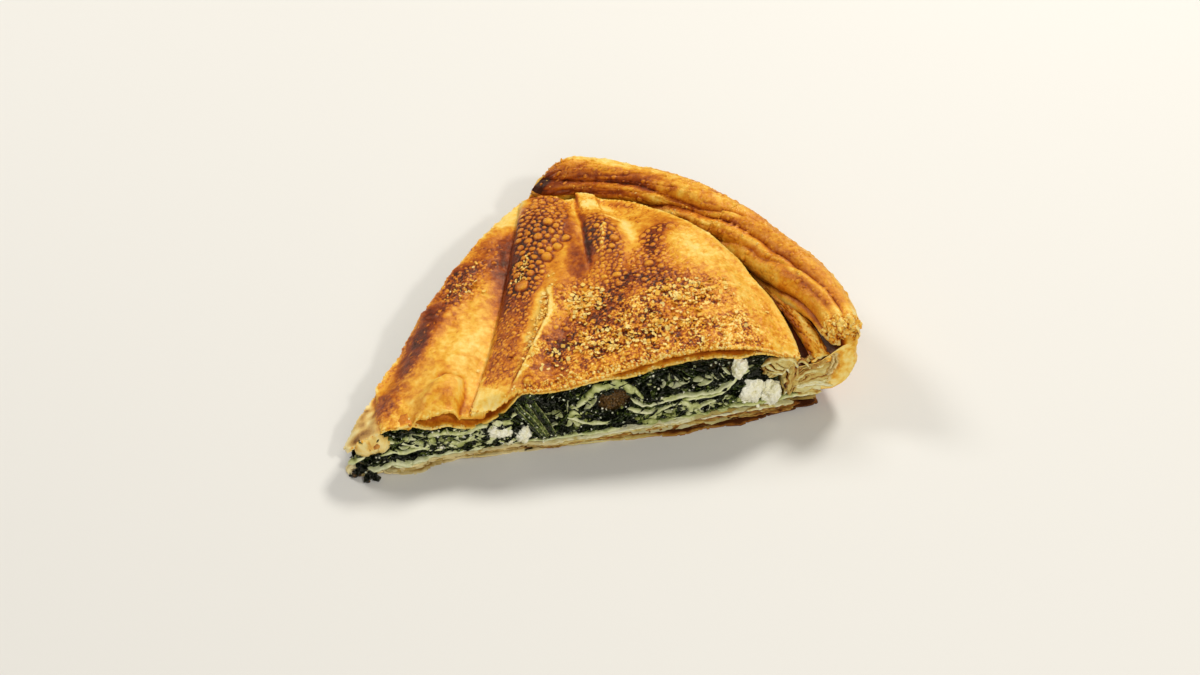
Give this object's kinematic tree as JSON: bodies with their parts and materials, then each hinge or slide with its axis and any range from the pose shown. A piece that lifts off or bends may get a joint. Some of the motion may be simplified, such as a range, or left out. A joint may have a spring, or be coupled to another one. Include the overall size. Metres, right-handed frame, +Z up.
{
  "type": "spinach and feta pie slice",
  "caption": "Wedge slice of a round filo pie with a spinach and white cheese filling, pleated browned top sheets and a rolled, twisted rim.",
  "frame": {"origin": "middle of the bounding box in plan, at the flat underside that the slice rests on", "axes": "+Z up, +X along the long front cut from the tip towards the rim, -Y out of the front cut"},
  "size_m": [0.1562, 0.1108, 0.0323],
  "materials": {
    "browned_filo": "satin",
    "pale_filo": "satin",
    "cooked_spinach": "wet",
    "feta": "matte"
  },
  "bodies": {
    "root": {"base_filo": "pale_filo", "top_filo": "browned_filo", "inner_filo_lower": "pale_filo", "inner_filo_upper": "pale_filo", "spinach_filling": "cooked_spinach", "rolled_rim": "browned_filo", "feta_upper": "feta", "feta_right": "feta", "feta_rim": "feta", "feta_stalk": "feta", "feta_middle": "feta", "feta_back_tip": "feta", "feta_back_rim": "feta"}
  },
  "joints": []
}
